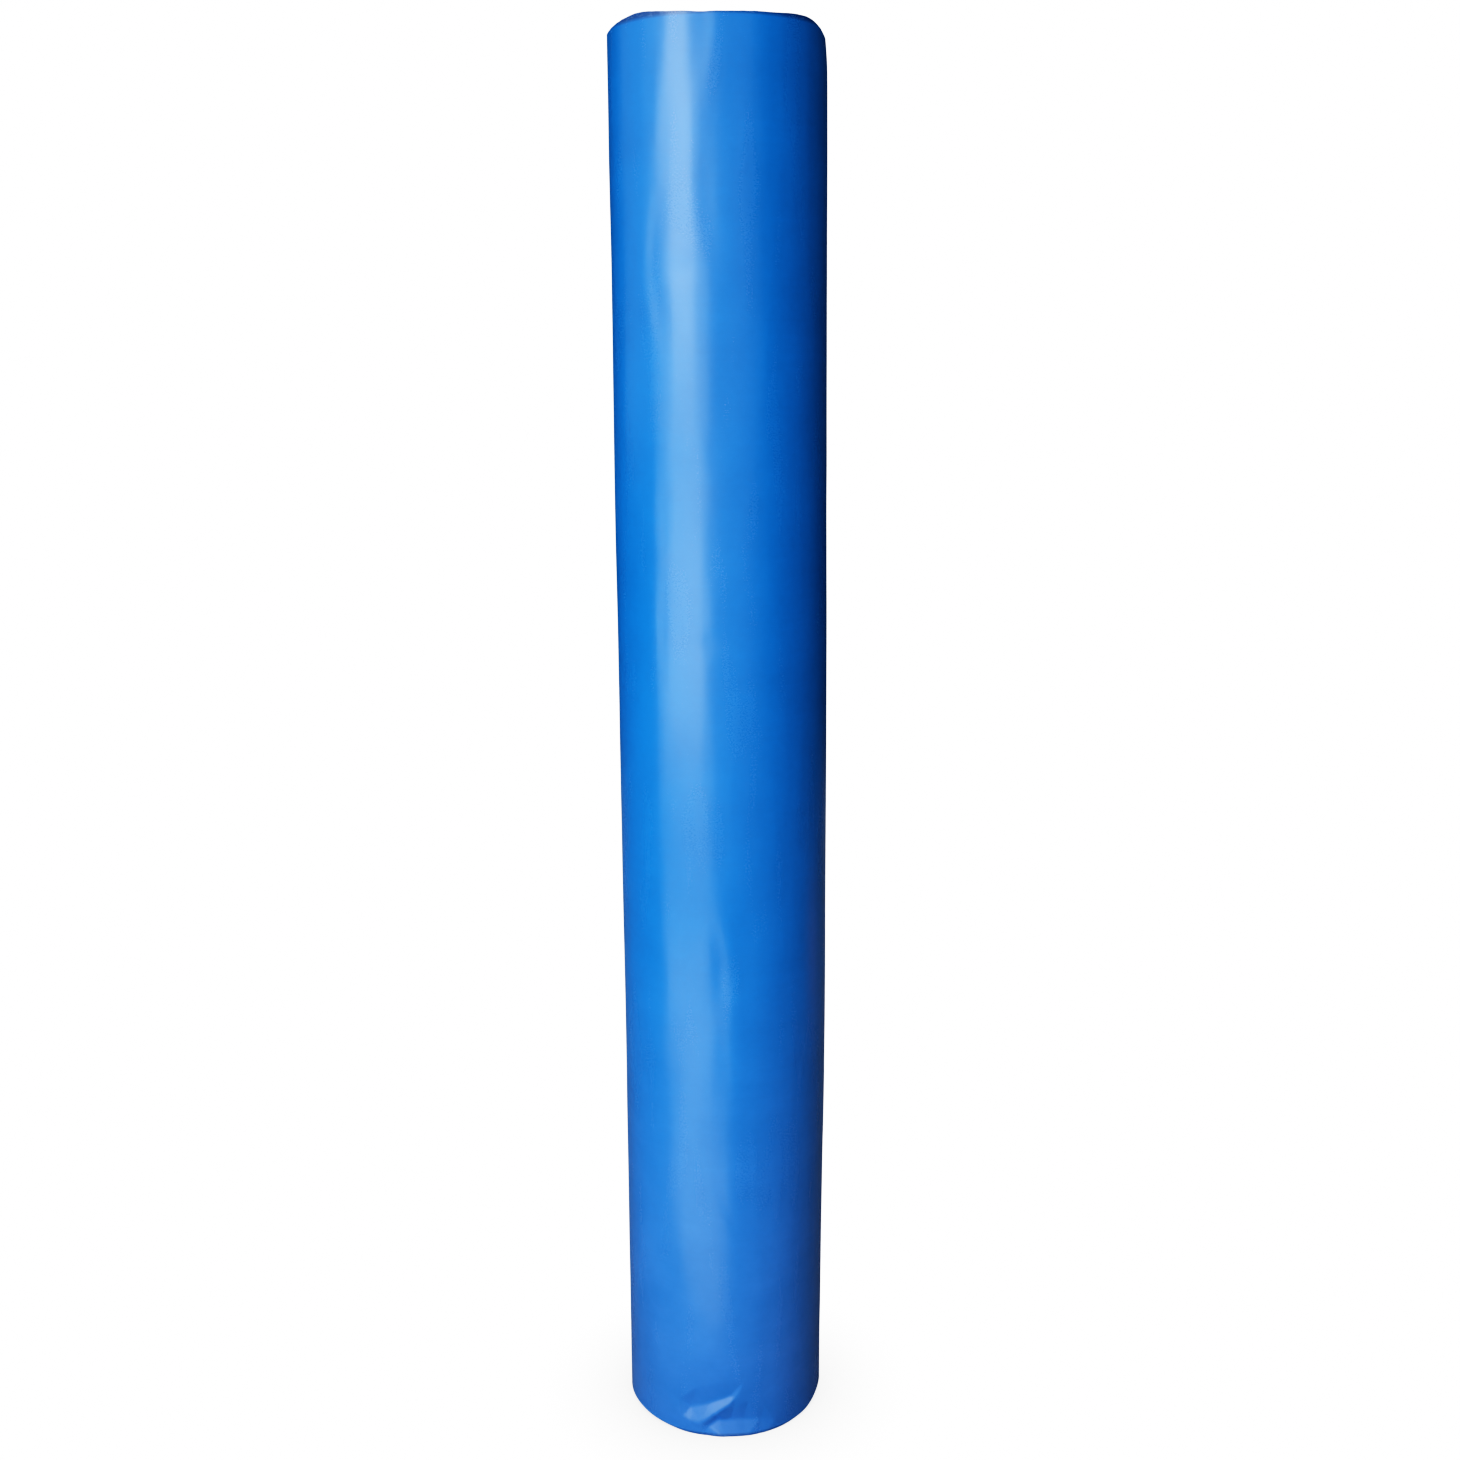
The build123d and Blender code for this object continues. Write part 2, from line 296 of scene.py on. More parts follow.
def slab(outer, inner, uv):
    """(points, faces, uvs) of a thin closed sheet between two grids of points of one shape, wound so that outer faces out."""
    nx, ny = outer.shape[:2]
    n = nx * ny
    k = np.arange(n).reshape(nx, ny)
    a, b, c, d = k[:-1, :-1], k[1:, :-1], k[1:, 1:], k[:-1, 1:]
    quads = [np.stack([a, b, c, d], -1).reshape(-1, 4), np.stack([a, d, c, b], -1).reshape(-1, 4) + n]
    for line in (k[:, 0], k[:, -1][::-1], k[0, :][::-1], k[-1, :]):
        p, q = line[:-1], line[1:]
        quads.append(np.stack([q, p, p + n, q + n], -1))
    return np.concatenate([outer.reshape(-1, 3), inner.reshape(-1, 3)]), np.concatenate(quads).tolist(), np.concatenate([uv.reshape(-1, 2)] * 2)


def rows():
    """Heights up the web from 0 to 1: close together at both ends, where the edge has its marks."""
    a = np.concatenate([np.arange(0, 46, 0.7), np.arange(46, 70, 1.5), np.arange(70, 600, 3.0), np.arange(600, 640, 2.0), np.arange(640, 660, 0.9), [660.0]])
    return np.unique(np.round(a, 3)) / WIDTH


ROWS = rows()


def web_sheet(name, phi0, phi1, step, inset, body=None):
    """A stretch of the outermost layer as a thin closed sheet."""
    inner_cols = np.arange(math.ceil(phi0 / step + 0.3) * step, phi1 - 0.3 * step, step)
    fine = np.arange(-128, -58, 0.4)
    fine = fine[(fine > phi0 + 1) & (fine < phi1 - 1)]
    phis = np.unique(np.round(np.concatenate([[phi0, phi0 + 0.12], inner_cols, fine, [phi1 - 0.12, phi1]]), 4))
    phis = phis[np.concatenate([[True], np.diff(phis) > 0.05])]
    p = phis[:, None] + 0 * ROWS[None]
    lo, hi = low_edge(p) + inset, top_edge(p) - inset
    z = lo + (hi - lo) * ROWS[None]
    outer, inner = place(p, PAPER, z), place(p, 0.004, z)
    uv = np.stack([(p - LOW) * ARC * MM, z * MM], -1)
    return mesh(name, *slab(outer, inner, uv), body=body)


# ---------------------------------------------------------------- the wound web under the outermost layer
def wound():
    """One closed mesh whose ends show every turn of the web as a spiral of paper edges."""
    sub = 3
    cols = 360
    phis = LOW + 360.0 * np.arange(cols + 1) / cols
    n = TURNS * sub
    # radial positions of the spiral's samples, layer by layer
    k = np.arange(n + 1)
    frac = np.array([0.0, 0.22, 0.78])[k % sub]
    level = k // sub + frac
    first = phis >= HALF
    rout = np.where(first, RA + SHIFT * np.cos(np.radians(phis - EDGE)), RB - SHIFT * np.cos(np.radians(phis - EDGE)))
    rin = CORE_R + 0.03 + (7.7 / TURNS) * (phis - LOW) / 360
    r = rin[:, None] + (rout - rin)[:, None] * level[None] / TURNS
    deg = np.broadcast_to(phis[:, None], r.shape)
    u = level[None] + (deg - LOW) / 360  # turns from the core
    groove = (k % sub == 0)[None] * 1.0
    wob = 0.20 * lattice(u / 2.3, deg / 360 * 0 + 5, 64, 8, 31) + 0.16 * lattice(u / 0.9, deg / 90, 128, 4, 32)
    wob = wob + 0.05 * lattice(u * 1.7, deg / 30, 256, 12, 33)
    under = rout[:, None] - r
    near = np.clip(1 - under / 6.0, 0, 1) ** 1.3
    top = WIDTH - 0.35 + wob - 0.09 * groove + near * rim(deg, TOP_PHI, TOP_DZ)
    wob2 = 0.16 * lattice(u / 2.1, deg / 360 * 0 + 2, 64, 8, 41) + 0.10 * lattice(u / 0.8, deg / 90, 128, 4, 42)
    bot = np.maximum(0.0, 0.14 + wob2 * 0.8 + 0.07 * groove + near * rim(deg, LOW_PHI, LOW_DZ))
    wall = ROWS[1:-1:1]
    verts, uvs, index = [], [], {}

    def add(key, p, uv):
        index[key] = len(verts)
        verts.append(p)
        uvs.append(uv)

    def spread(rr, dd, zz, deep):
        d = web(dd, zz) * np.clip(1 - deep / 7.4, 0, 1)
        a = np.radians(dd)
        return np.stack([(rr + d) * np.cos(a), (rr + d) * np.sin(a), zz], -1)

    tops, bots = spread(r, deg, top, under), spread(r, deg, bot, under)
    zin = np.array([4.0, 40.0, 330.0, 620.0, 656.0])
    for j in range(cols + 1):
        last = j == cols
        for i in range(n + 1):
            if last and i <= n - sub:
                index["t", j, i] = index["t", 0, i + sub]
                index["b", j, i] = index["b", 0, i + sub]
                continue
            add(("t", j, i), tops[j, i], (u[j, i] * 0.283 + 5, 0.7 + 0.002 * (r[j, i] - CORE_R)))
            add(("b", j, i), bots[j, i], (u[j, i] * 0.283 + 9, 0.7 + 0.002 * (r[j, i] - CORE_R)))
        z = bot[j, n] + (top[j, n] - bot[j, n]) * wall
        pts = spread(np.full(z.shape, r[j, n]), np.full(z.shape, phis[j]), z, 0.0)
        for h in range(len(z)):
            add(("o", j, h), pts[h], ((phis[j] - LOW) * ARC * MM + 1.3, z[h] * MM))
        a = math.radians(phis[j])
        for h, zz in enumerate(zin):
            add(("i", j, h), (rin[j] * math.cos(a), rin[j] * math.sin(a), zz), (phis[j] * MM + 3, zz * MM))
    faces = []
    nw, ni = len(wall), len(zin)
    for j in range(cols):
        for i in range(n):
            faces.append([index["t", j, i], index["t", j, i + 1], index["t", j + 1, i + 1], index["t", j + 1, i]])
            faces.append([index["b", j, i + 1], index["b", j, i], index["b", j + 1, i], index["b", j + 1, i + 1]])
        out = lambda q: [index["b", q, n]] + [index["o", q, h] for h in range(nw)] + [index["t", q, n]]
        inn = lambda q: [index["b", q, 0]] + [index["i", q, h] for h in range(ni)] + [index["t", q, 0]]
        a, b = out(j), out(j + 1)
        faces += [[a[h], b[h], b[h + 1], a[h + 1]] for h in range(len(a) - 1)]
        a, b = inn(j), inn(j + 1)
        faces += [[b[h], a[h], a[h + 1], b[h + 1]] for h in range(len(a) - 1)]
    # the steps where the web's ends lie: outside under the free edge, and inside on the core
    low = [index["b", 0, n]] + [index["o", 0, h] for h in range(nw)] + [index["t", 0, n]]
    high = [index["b", cols, n]] + [index["o", cols, h] for h in range(nw)] + [index["t", cols, n]]
    last = len(low) - 2
    for h in range(last + 1):
        face = [high[h], low[h], low[h + 1], high[h + 1]]
        if h == 0:
            mid = [index["b", cols, i] for i in range(n - 1, n - sub, -1)]
            face = [high[0], *mid, low[0], low[1], high[1]]
        elif h == last:
            mid = [index["t", cols, i] for i in range(n - sub + 1, n)]
            face = [high[h], low[h], low[h + 1], *mid, high[h + 1]]
        faces.append(face)
    low = [index["b", 0, 0]] + [index["i", 0, h] for h in range(ni)] + [index["t", 0, 0]]
    high = [index["b", cols, 0]] + [index["i", cols, h] for h in range(ni)] + [index["t", cols, 0]]
    last = len(low) - 2
    for h in range(last + 1):
        face = [high[h], low[h], low[h + 1], high[h + 1]]
        if h == 0:
            mid = [index["b", 0, i] for i in range(sub - 1, 0, -1)]
            face = [high[0], *mid, low[0], low[1], high[1]]
        elif h == last:
            mid = [index["t", 0, i] for i in range(1, sub)]
            face = [high[h], low[h], low[h + 1], *mid, high[h + 1]]
        faces.append(face)
    o = mesh("wound_web", verts, faces, uvs, "roll", angle=30)
    kind = np.zeros(len(faces), np.int32)
    block = np.concatenate([np.ones(2 * n, np.int32), np.zeros(nw + ni + 2, np.int32)])
    kind[: len(block) * cols] = np.tile(block, cols)
    o.data.materials.append(None)
    o.data.materials.append(None)
    o.data.polygons.foreach_set("material_index", kind)
    return o


# ---------------------------------------------------------------- the core
def tube(name, r0, r1, seed):
    """A ply of the core as a closed tube, with softened, slightly uneven ends."""
    cols = 180
    a = np.radians(np.arange(cols) * 360 / cols)
    zs = np.array([0, 0.06, 0.5, 3, 40, 330, 620, 655, 657.5, 657.94, 658.0]) + CORE_Z0
    deg = np.degrees(a)[:, None] + 0 * zs[None]
    bevel = np.array([0.07, 0, 0, 0, 0, 0, 0, 0, 0, 0, 0.07])

    def wave(k):
        return 0.10 * lattice(deg / 360 * 24, k + 0 * deg, 24, 8, seed) + 0.05 * lattice(deg / 360 * 70, k + 0 * deg, 70, 8, seed + 1)

    end = np.exp(-(zs - CORE_Z0) / 1.0)[None] * wave(1) - np.exp(-(CORE_Z1 - zs) / 1.0)[None] * wave(4)
    z = zs[None] + end
    ri, ro = r0 + bevel[None] + 0 * z, r1 - bevel[None] + 0 * z
    inner = np.stack([ri * np.cos(a)[:, None], ri * np.sin(a)[:, None], z], -1)
    outer = np.stack([ro * np.cos(a)[:, None], ro * np.sin(a)[:, None], z], -1)
    ny = z.shape[1]
    k = np.arange(cols * ny).reshape(cols, ny)
    m = np.roll(k, -1, axis=0)
    n = cols * ny
    quads = [np.stack([k[:, :-1], m[:, :-1], m[:, 1:], k[:, 1:]], -1).reshape(-1, 4),
             np.stack([k[:, :-1], k[:, 1:], m[:, 1:], m[:, :-1]], -1).reshape(-1, 4) + n,
             np.stack([m[:, 0], k[:, 0], k[:, 0] + n, m[:, 0] + n], -1),
             np.stack([k[:, -1], m[:, -1], m[:, -1] + n, k[:, -1] + n], -1)]  # fmt: skip
    return mesh(name, np.concatenate([outer.reshape(-1, 3), inner.reshape(-1, 3)]), np.concatenate(quads).tolist(), None, "roll", angle=40)


def liner():
    """The innermost ply, with the butt joint of its strip as a helical groove up the bore."""
    import bmesh

    lead, cols = 136.0, 144
    across = [0.0, 0.22, 0.42, 0.7, 1.4, 4.0, 14.0, 34.0, 68.0, 102.0, 122.0, 132.0, 134.6, 135.3, 135.58, 135.78]
    sink = [0.24, 0.24, 0.02, -0.05, -0.03, 0.0, 0.0, 0.0, 0.0, 0.0, 0.0, 0.0, -0.03, -0.05, 0.02, 0.24]
    offs = np.array([t * lead + o for t in range(-2, 7) for o in across])
    sinks = np.array(sink * 9)
    deg = np.arange(cols + 1) * 360.0 / cols
    verts, faces = [], []
    ny = len(offs)
    for j, d in enumerate(deg):
        for i in range(ny):
            rr = BORE_R + max(0.0, sinks[i])
            if sinks[i] < 0:
                rr = BORE_R + sinks[i] * 0.9
            verts.append((rr * math.cos(math.radians(d)) * MM, rr * math.sin(math.radians(d)) * MM, (offs[i] + lead * d / 360) * MM))
    for j in range(cols):
        for i in range(ny - 1):
            a, b = j * ny + i, (j + 1) * ny + i
            faces.append((a, a + 1, b + 1, b))
    m = bpy.data.meshes.new("core_liner_board")
    m.from_pydata(verts, [], faces)
    bm = bmesh.new()
    bm.from_mesh(m)
    bmesh.ops.remove_doubles(bm, verts=bm.verts, dist=2e-6)
    for z, up in ((CORE_Z0, -1), (CORE_Z1, 1)):
        bmesh.ops.bisect_plane(bm, geom=bm.verts[:] + bm.edges[:] + bm.faces[:], dist=1e-7, plane_co=(0, 0, z * MM), plane_no=(0, 0, up), clear_outer=True)
    bm.verts.ensure_lookup_table()
    old = list(bm.verts)
    twin = {}
    for v in old:
        d = math.hypot(v.co.x, v.co.y)
        s = (BORE_R + PLY) * MM / d
        twin[v] = bm.verts.new((v.co.x * s, v.co.y * s, v.co.z))
    inner_faces = list(bm.faces)
    borders = [e for e in bm.edges if len(e.link_faces) == 1]
    for f in inner_faces:
        bm.faces.new([twin[v] for v in reversed(f.verts)])
    for e in borders:
        f = e.link_faces[0]
        loop = next(l for l in f.loops if l.edge == e)
        a, b = loop.vert, loop.link_loop_next.vert
        bm.faces.new((b, a, twin[a], twin[b]))
    bmesh.ops.recalc_face_normals(bm, faces=bm.faces)
    bm.to_mesh(m)
    bm.free()
    m.polygons.foreach_set("use_smooth", [True] * len(m.polygons))
    m.set_sharp_from_angle(angle=math.radians(32))
    o = bpy.data.objects.new("core_liner_board", m)
    bpy.context.scene.collection.objects.link(o)
    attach(o, "roll")
    return o


# ---------------------------------------------------------------- tape tabs
def tape(name, mid):
    """A tab of creped tape across the free edge, with torn ends."""
    seed = int(mid)
    lo, hi = EDGE - TAPE_ARC, EDGE + TAPE_ARC
    cols = np.concatenate([np.linspace(lo, EDGE - 0.6, 150), np.linspace(EDGE - 0.35, EDGE + 1.6, 16), np.linspace(EDGE + 1.9, hi, 142)])
    v = np.linspace(0, 1, 26)
    tear0 = 0.55 * lattice(v * 11, 0 * v, 64, 4, seed + 5) + 0.28 * np.abs((v * 12.5 + 0.3) % 1 - 0.5) * 2
    tear1 = 0.55 * lattice(v * 11, 0 * v, 64, 4, seed + 6) + 0.28 * np.abs((v * 12.5) % 1 - 0.5) * 2
    t = (cols - lo) / (hi - lo)
    p = cols[:, None] + tear0[None] * (1 - smooth(t, 0, 0.03))[:, None] * 0.9 - tear1[None] * smooth(t, 0.97, 1)[:, None] * 0.9
    edge = 0.10 * lattice(cols / 6, 0 * cols, 64, 4, seed)[:, None]
    z = mid + (v[None] - 0.5) * TAPE_WIDTH + edge * (v[None] - 0.5) * 2 + 0.35 * (t[:, None] - 0.5)
    drop = smooth(p, EDGE, EDGE + 1.3)
    a = np.radians(p)
    over = p > EDGE
    radius = np.where(over, RB + PAPER + (RA - RB) * (1 - drop) + 2 * SHIFT * (1 - drop), RA + PAPER) + web(p, z)
    cx, cy = np.where(over, CB[0], CA[0]), np.where(over, CB[1], CA[1])
    crepe = 0.016 * np.sin(p * ARC * 2 * math.pi / 0.62 + 2.2 * lattice(p / 3, z / 5, 64, 64, seed + 1)) + 0.012 * lattice(p * 1.9, z / 3.5, 512, 64, seed + 2)
    lift = 0.10 * (1 - smooth(t, 0, 0.035))[:, None] * smooth(v, 0.2, 0.9)[None] + 0.16 * smooth(t, 0.95, 1)[:, None] * (1 - smooth(v, 0.0, 0.5))[None]
    grid = lambda q: np.stack([cx + (radius + q) * np.cos(a), cy + (radius + q) * np.sin(a), z], -1)
    outer, inner = grid(TAPE_THICK + crepe + lift), grid(0.008 + lift)
    uv = np.stack([p * ARC * MM, z * MM], -1)
    return mesh(name, *slab(outer, inner, uv))


# ---------------------------------------------------------------- materials
class Nodes:
    """A short way to write a node tree."""

    def __init__(self, name):
        self.mat = bpy.data.materials.new(name)
        self.mat.use_nodes = True
        self.tree = self.mat.node_tree
        self.tree.nodes.clear()

    def add(self, kind, **kw):
        n = self.tree.nodes.new(kind)
        for k, v in kw.items():
            if k in n.bl_rna.properties.keys():
                setattr(n, k, v)
        for k, v in kw.items():
            if k not in n.bl_rna.properties.keys():
                self.put(n.inputs[k.replace("_", " ")], v)
        return n

    def put(self, socket, v):
        if isinstance(v, bpy.types.NodeSocket):
            self.tree.links.new(v, socket)
        elif isinstance(v, bpy.types.Node):
            self.tree.links.new(v.outputs[0], socket)
        else:
            socket.default_value = v

    def math(self, op, a, b=0.0, c=0.0, clamp=False):
        n = self.tree.nodes.new("ShaderNodeMath")
        n.operation, n.use_clamp = op, clamp
        for s, v in zip(n.inputs, (a, b, c)):
            self.put(s, v)
        return n.outputs[0]

    def noise(self, vec, scale, detail=2.0, rough=0.5, dims="3D", distortion=0.0):
        n = self.tree.nodes.new("ShaderNodeTexNoise")
        n.noise_dimensions = dims
        if dims == "1D":
            self.put(n.inputs["W"], vec)
        else:
            self.put(n.inputs["Vector"], vec)
        n.inputs["Scale"].default_value = scale
        n.inputs["Detail"].default_value = detail
        n.inputs["Roughness"].default_value = rough
        n.inputs["Distortion"].default_value = distortion
        return n.outputs[0]

    def scale(self, vec, xyz, loc=(0, 0, 0), rot=(0, 0, 0)):
        n = self.tree.nodes.new("ShaderNodeMapping")
        self.put(n.inputs["Vector"], vec)
        n.inputs["Scale"].default_value = xyz
        n.inputs["Location"].default_value = loc
        n.inputs["Rotation"].default_value = rot
        return n.outputs[0]

    def ramp(self, fac, *stops, mode="LINEAR"):
        n = self.tree.nodes.new("ShaderNodeValToRGB")
        n.color_ramp.interpolation = mode
        e = n.color_ramp.elements
        while len(e) < len(stops):
            e.new(0.5)
        for q, (p, c) in zip(e, stops):
            q.position = p
            q.color = (c, c, c, 1) if isinstance(c, (int, float)) else (*c, 1)
        self.put(n.inputs[0], fac)
        return n.outputs[0]

    def mix(self, fac, a, b, blend="MIX"):
        n = self.tree.nodes.new("ShaderNodeMix")
        n.data_type, n.blend_type = "RGBA", blend
        self.put(n.inputs["Factor"], fac)
        for s, v in ((n.inputs[6], a), (n.inputs[7], b)):
            if isinstance(v, (tuple, list)):
                s.default_value = (*v, 1) if len(v) == 3 else v
            else:
                self.put(s, v)
        return n.outputs[2]

    def bump(self, height, strength, distance, normal=None):
        n = self.tree.nodes.new("ShaderNodeBump")
        self.put(n.inputs["Height"], height)
        n.inputs["Strength"].default_value = strength
        n.inputs["Distance"].default_value = distance
        if normal is not None:
            self.put(n.inputs["Normal"], normal)
        return n.outputs[0]

    def out(self, shader):
        n = self.tree.nodes.new("ShaderNodeOutputMaterial")
        self.put(n.inputs["Surface"], shader)
        return self.mat


BLUE = (0.014, 0.250, 0.815)


def blue_paper():
    """Smooth uncoated blue paper, calendered to a low satin sheen. The web's own UV is in metres: u along it, v across it."""
    t = Nodes("blue_paper")
    uv = t.add("ShaderNodeUVMap", uv_map="web").outputs[0]
    mm = t.scale(uv, (1000, 1000, 1))
    sep = t.add("ShaderNodeSeparateXYZ", Vector=uv)
    v = sep.outputs[1]
    fibre = t.noise(t.scale(mm, (1.3, 1.9, 1)), 1.0, 5.0, 0.62, "2D", 0.4)
    felt = t.noise(t.scale(mm, (0.30, 0.36, 1)), 1.0, 3.0, 0.55, "2D")
    cloud = t.noise(t.scale(mm, (0.028, 0.034, 1), (7, 3, 0)), 1.0, 4.0, 0.55, "2D")
    streak = t.noise(t.scale(mm, (0.012, 0.55, 1), (3, 9, 0)), 1.0, 3.0, 0.6, "2D")
    flow = t.noise(t.scale(mm, (0.09, 0.018, 1), (5, 1, 0)), 1.0, 1.0, 0.45, "2D")
    speck = t.noise(t.scale(mm, (0.8, 0.8, 1), (31, 17, 0)), 1.0, 1.0, 0.5, "2D")
    speck = t.ramp(speck, (0.80, 0.0), (0.84, 1.0))
    # a band along both cut edges: rubbed pale in places (wear), and darkened at the very rim as painted shade
    low = t.math("SUBTRACT", 1.0, t.math("DIVIDE", v, 0.0016), clamp=True)
    high = t.math("SUBTRACT", 1.0, t.math("DIVIDE", t.math("SUBTRACT", 0.660, v), 0.0016), clamp=True)
    near = t.math("MAXIMUM", low, high)
    chew = t.noise(t.scale(mm, (0.35, 0.9, 1), (2, 8, 0)), 1.0, 3.0, 0.6, "2D")
    wear = t.math("MULTIPLY", near, t.ramp(chew, (0.52, 0.0), (0.75, 0.75)))
    tone = t.math("ADD", 0.90, t.math("MULTIPLY", cloud, 0.20))
    tone = t.math("MULTIPLY", tone, t.math("ADD", 0.965, t.math("MULTIPLY", felt, 0.07)))
    tone = t.math("MULTIPLY", tone, t.math("ADD", 0.98, t.math("MULTIPLY", streak, 0.04)))
    tone = t.math("MULTIPLY", tone, t.math("ADD", 0.97, t.math("MULTIPLY", fibre, 0.06)))
    col = t.mix(1.0, BLUE, t.mix(0.0, tone, tone), "MULTIPLY")
    # painted reflection: the lower end is made paler in patches, where the pale floor's reflection lies
    floor_reflection_paint = t.math("SUBTRACT", 1.0, t.math("DIVIDE", v, 0.24), clamp=True)
    floor_reflection_paint = t.math("MULTIPLY", floor_reflection_paint, t.math("ADD", 0.55, t.math("MULTIPLY", cloud, 0.9)))
    col = t.mix(floor_reflection_paint, col, t.mix(1.0, (0.066, 0.275, 0.840), t.mix(0.0, tone, tone), "MULTIPLY"))
    col = t.mix(t.math("MULTIPLY", speck, 0.12), col, (0.16, 0.40, 0.88))
    # painted shade: a thin dark line along both cut edges, where the rims fall into shade
    col = t.mix(t.math("MULTIPLY", t.math("POWER", near, 0.7), 0.75), col, (0.002, 0.035, 0.17))
    col = t.mix(t.math("MULTIPLY", wear, 0.5), col, (0.20, 0.42, 0.80))
    rough = t.math("ADD", 0.205, t.math("MULTIPLY", flow, 0.07))
    rough = t.math("ADD", rough, t.math("MULTIPLY", fibre, 0.04))
    normal = t.bump(fibre, 0.10, 0.00005)
    normal = t.bump(felt, 0.16, 0.00012, normal)
    normal = t.bump(flow, 0.22, 0.0003, normal)
    normal = t.bump(streak, 0.06, 0.0001, normal)
    p = t.add("ShaderNodeBsdfPrincipled")
    t.put(p.inputs["Base Color"], col)
    t.put(p.inputs["Roughness"], rough)
    t.put(p.inputs["Normal"], normal)
    p.inputs["IOR"].default_value = 1.58
    p.inputs["Specular IOR Level"].default_value = 1.0
    return t.out(p.outputs[0])


def paper_ends():
    """The cut edges of the wound web: blue, duller, with every turn its own tone."""
    t = Nodes("blue_paper_cut_edges")
    uv = t.add("ShaderNodeUVMap", uv_map="web").outputs[0]
    sep = t.add("ShaderNodeSeparateXYZ", Vector=uv)
    turns = t.math("DIVIDE", sep.outputs[0], 0.283)
    band = t.noise(t.math("MULTIPLY", turns, 0.37), 1.0, 2.0, 0.6, "1D")
    each = t.noise(t.math("MULTIPLY", turns, 5.3), 1.0, 1.0, 0.5, "1D")
    obj = t.add("ShaderNodeTexCoord").outputs["Object"]
    dust = t.noise(t.scale(obj, (160, 160, 160)), 1.0, 4.0, 0.6)
    grain = t.noise(t.scale(obj, (2300, 2300, 2300)), 1.0, 3.0, 0.6)
    tone = t.math("ADD", 0.58, t.math("MULTIPLY", band, 0.34))
    tone = t.math("ADD", tone, t.math("MULTIPLY", each, 0.52))
    col = t.mix(1.0, (0.014, 0.225, 0.74), t.mix(0.0, tone, tone), "MULTIPLY")
    col = t.mix(t.ramp(dust, (0.52, 0.0), (0.75, 0.26)), col, (0.22, 0.36, 0.62))
    col = t.mix(t.ramp(each, (0.62, 0.0), (0.70, 0.35)), col, (0.10, 0.30, 0.72))
    p = t.add("ShaderNodeBsdfPrincipled")
    t.put(p.inputs["Base Color"], col)
    t.put(p.inputs["Roughness"], t.math("ADD", 0.66, t.math("MULTIPLY", grain, 0.15)))
    t.put(p.inputs["Normal"], t.bump(grain, 0.35, 0.00008))
    p.inputs["Specular IOR Level"].default_value = 0.28
    return t.out(p.outputs[0])


def board(name, base, dark, seed, gloss=0.0):
    """Wound grey-brown core board: felted fibres, flecks, and darker cut ends."""
    t = Nodes(name)
    obj = t.add("ShaderNodeTexCoord").outputs["Object"]
    fib = t.noise(t.scale(obj, (900, 900, 260), (seed, 0, 0), (0.4, 0.2, 0)), 1.0, 5.0, 0.65, "3D", 0.7)
    cloud = t.noise(t.scale(obj, (45, 45, 22), (0, seed, 0)), 1.0, 4.0, 0.6)
    fleck = t.noise(t.scale(obj, (1100, 1100, 420), (0, 0, seed)), 1.0, 2.0, 0.5)
    fine = t.noise(t.scale(obj, (3200, 3200, 1500)), 1.0, 3.0, 0.6)
    col = t.mix(t.ramp(cloud, (0.3, 0.0), (0.7, 1.0)), base, dark)
    col = t.mix(t.math("MULTIPLY", t.ramp(fib, (0.38, 0.0), (0.68, 1.0)), 0.40), col, tuple(c * 1.35 for c in base))
    col = t.mix(t.ramp(fleck, (0.66, 0.0), (0.74, 0.65)), col, tuple(c * 0.34 for c in dark))
    col = t.mix(t.ramp(fleck, (0.20, 0.55), (0.29, 0.0)), col, (0.62, 0.55, 0.44))
    z = t.add("ShaderNodeSeparateXYZ", Vector=obj).outputs[2]
    up = t.math("SUBTRACT", 1.0, t.math("DIVIDE", t.math("SUBTRACT", 0.6600, z), 0.0030), clamp=True)
    down = t.math("SUBTRACT", 1.0, t.math("DIVIDE", z, 0.0030), clamp=True)
    ends = t.math("MAXIMUM", up, down)
    col = t.mix(t.math("MULTIPLY", ends, 0.45), col, tuple(c * 0.62 for c in dark))
    p = t.add("ShaderNodeBsdfPrincipled")
    t.put(p.inputs["Base Color"], col)
    t.put(p.inputs["Roughness"], t.math("ADD", 0.74 - gloss, t.math("MULTIPLY", fib, 0.18)))
    n = t.bump(fib, 0.45, 0.00016)
    n = t.bump(fine, 0.30, 0.00005, n)
    n = t.bump(cloud, 0.25, 0.0008, n)
    t.put(p.inputs["Normal"], n)
    p.inputs["Specular IOR Level"].default_value = 0.25
    return t.out(p.outputs[0])


